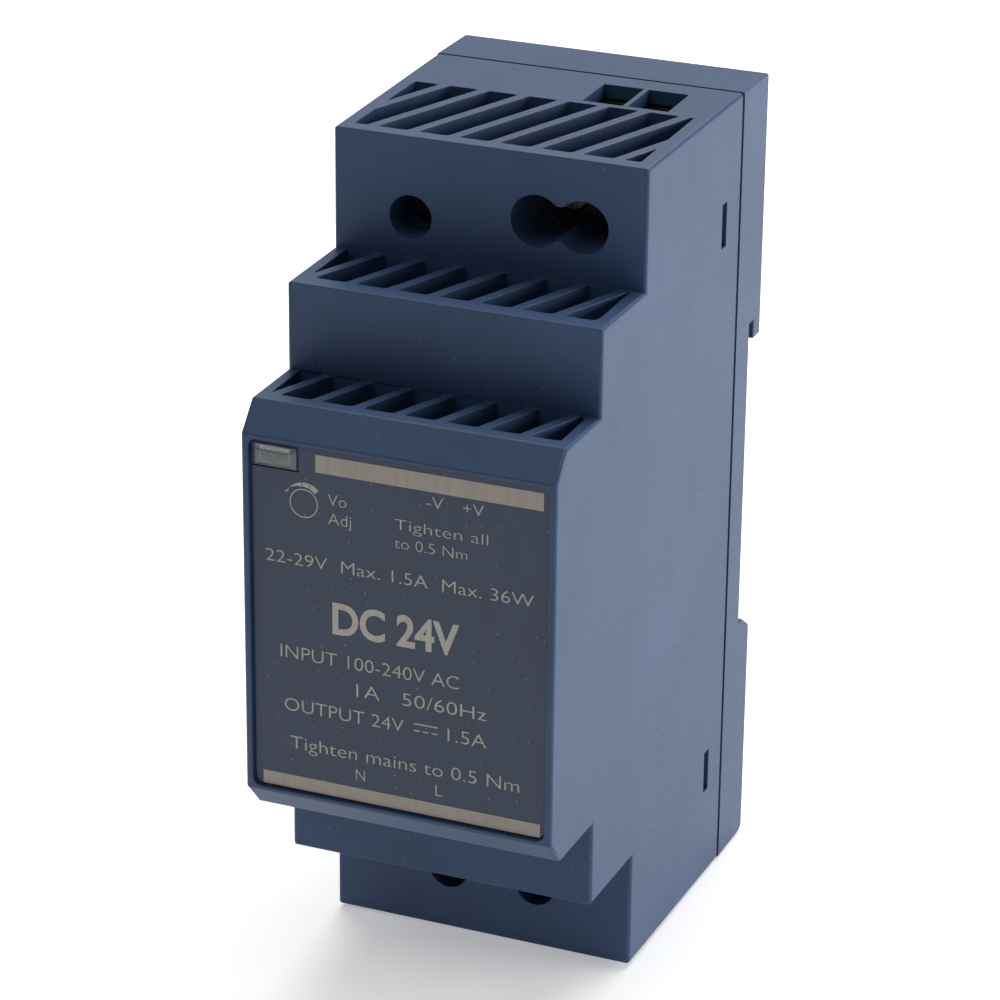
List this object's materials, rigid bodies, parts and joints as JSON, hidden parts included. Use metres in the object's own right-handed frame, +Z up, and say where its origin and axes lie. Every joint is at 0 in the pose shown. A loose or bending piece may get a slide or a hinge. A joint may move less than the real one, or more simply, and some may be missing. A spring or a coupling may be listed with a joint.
{
  "type": "din rail power supply",
  "caption": "Narrow stepped power supply for a 35 mm rail: screw clamp terminals at top and bottom, slanted vent grilles, trimmer, signal lamp and a sprung rail latch.",
  "frame": {"origin": "centre of the bounding box in plan, at the height of the bottom end", "axes": "+X to the right seen from the front, +Y from the front face towards the rail, +Z up"},
  "size_m": [0.035, 0.058, 0.09],
  "materials": {
    "casing_plastic": "moulded fine spark-eroded texture",
    "cover_plastic": "moulded fine spark-eroded texture",
    "latch_plastic": "moulded, smooth",
    "spring_steel": "drawn spring wire",
    "label_film": "printed polyester film",
    "clear_lens": "polished clear moulding",
    "terminal_plastic": "moulded glass-filled polyamide",
    "board_laminate": "solder-resist coated glass laminate",
    "black_plastic": "moulded epoxy",
    "lamp_plastic": "moulded lamp body",
    "trimmer_plastic": "moulded",
    "rotor_plastic": "moulded",
    "blue_coating": "dipped lacquer",
    "black_coating": "dipped lacquer",
    "yellow_plastic": "moulded case",
    "ferrite": "ground sintered ferrite",
    "copper_wire": "lacquered winding wire",
    "capacitor_sleeve": "shrunk sleeve",
    "heatsink_aluminium": "rolled sheet",
    "winding_tape": "polyester tape",
    "white_plastic": "moulded epoxy",
    "zinc_steel": "zinc plated",
    "plated_brass": "nickel-plated brass",
    "tinned_copper": "tin-plated copper"
  },
  "bodies": {
    "housing": {"front_housing": "casing_plastic", "front_label": "label_film", "led_light_pipe": "clear_lens", "rear_cover": "cover_plastic", "latch_spring": "spring_steel", "output_terminal_block": "terminal_plastic", "negative_contact": "tinned_copper", "positive_contact": "tinned_copper", "input_terminal_block": "terminal_plastic", "neutral_contact": "tinned_copper", "line_contact": "tinned_copper", "main_board": "board_laminate", "control_board": "board_laminate", "board_header": "black_plastic", "control_chip": "black_plastic", "led": "lamp_plastic", "voltage_trimmer": "trimmer_plastic", "fuse": "black_plastic", "varistor": "blue_coating", "thermistor": "black_coating", "x_capacitor": "yellow_plastic", "choke_core": "ferrite", "choke_winding_left": "copper_wire", "choke_winding_right": "copper_wire", "bridge_rectifier": "black_plastic", "bulk_capacitor": "capacitor_sleeve", "switching_transistor": "black_plastic", "primary_heatsink": "heatsink_aluminium", "transformer_core_front": "ferrite", "transformer_core_rear": "ferrite", "transformer_bobbin": "black_plastic", "transformer_winding": "winding_tape", "output_capacitor_left": "capacitor_sleeve", "output_capacitor_right": "capacitor_sleeve", "optocoupler": "white_plastic", "y_capacitor": "blue_coating", "output_rectifier": "black_plastic", "secondary_heatsink": "heatsink_aluminium", "output_choke_core": "ferrite", "output_choke_winding": "copper_wire"},
    "latch": {"rail_latch": "latch_plastic"},
    "trimmer_rotor": {"trimmer_rotor": "rotor_plastic"},
    "negative_screw": {"negative_screw": "zinc_steel"},
    "negative_cage": {"negative_clamp_cage": "plated_brass"},
    "positive_screw": {"positive_screw": "zinc_steel"},
    "positive_cage": {"positive_clamp_cage": "plated_brass"},
    "neutral_screw": {"neutral_screw": "zinc_steel"},
    "neutral_cage": {"neutral_clamp_cage": "plated_brass"},
    "line_screw": {"line_screw": "zinc_steel"},
    "line_cage": {"line_clamp_cage": "plated_brass"}
  },
  "joints": [
    {"name": "latch_slide", "type": "slide", "parent": "housing", "child": "latch", "axis": [0, 0, -1], "range_m": [0, 0.004], "stiffness_N_per_m": 1200, "deforming": ["latch_spring"]},
    {"name": "negative_screw_turn", "type": "hinge", "parent": "housing", "child": "negative_screw", "pos_m": [0.00515, 0.0045, 0.0826], "axis": [0, 1, 0], "range_deg": [0, 2160]},
    {"name": "negative_cage_rise", "type": "slide", "parent": "housing", "child": "negative_cage", "axis": [0, -1, 0], "range_m": [0, 0.003]},
    {"name": "positive_screw_turn", "type": "hinge", "parent": "housing", "child": "positive_screw", "pos_m": [0.01015, 0.0045, 0.0826], "axis": [0, 1, 0], "range_deg": [0, 2160]},
    {"name": "positive_cage_rise", "type": "slide", "parent": "housing", "child": "positive_cage", "axis": [0, -1, 0], "range_m": [0, 0.003]},
    {"name": "neutral_screw_turn", "type": "hinge", "parent": "housing", "child": "neutral_screw", "pos_m": [-0.004, 0.0045, 0.0074], "axis": [0, 1, 0], "range_deg": [0, 2160]},
    {"name": "neutral_cage_rise", "type": "slide", "parent": "housing", "child": "neutral_cage", "axis": [0, -1, 0], "range_m": [0, 0.003]},
    {"name": "line_screw_turn", "type": "hinge", "parent": "housing", "child": "line_screw", "pos_m": [0.0061, 0.0045, 0.0074], "axis": [0, 1, 0], "range_deg": [0, 2160]},
    {"name": "line_cage_rise", "type": "slide", "parent": "housing", "child": "line_cage", "axis": [0, -1, 0], "range_m": [0, 0.003]},
    {"name": "trimmer_turn", "type": "hinge", "parent": "housing", "child": "trimmer_rotor", "pos_m": [-0.0086, -0.0002, 0.0811], "axis": [0, 1, 0], "range_deg": [-135, 135]}
  ],
  "couplings": [
    {"joint": "negative_screw_turn", "follows": "negative_cage_rise", "rad_per_m": 12566},
    {"joint": "positive_screw_turn", "follows": "positive_cage_rise", "rad_per_m": 12566},
    {"joint": "neutral_screw_turn", "follows": "neutral_cage_rise", "rad_per_m": 12566},
    {"joint": "line_screw_turn", "follows": "line_cage_rise", "rad_per_m": 12566}
  ]
}
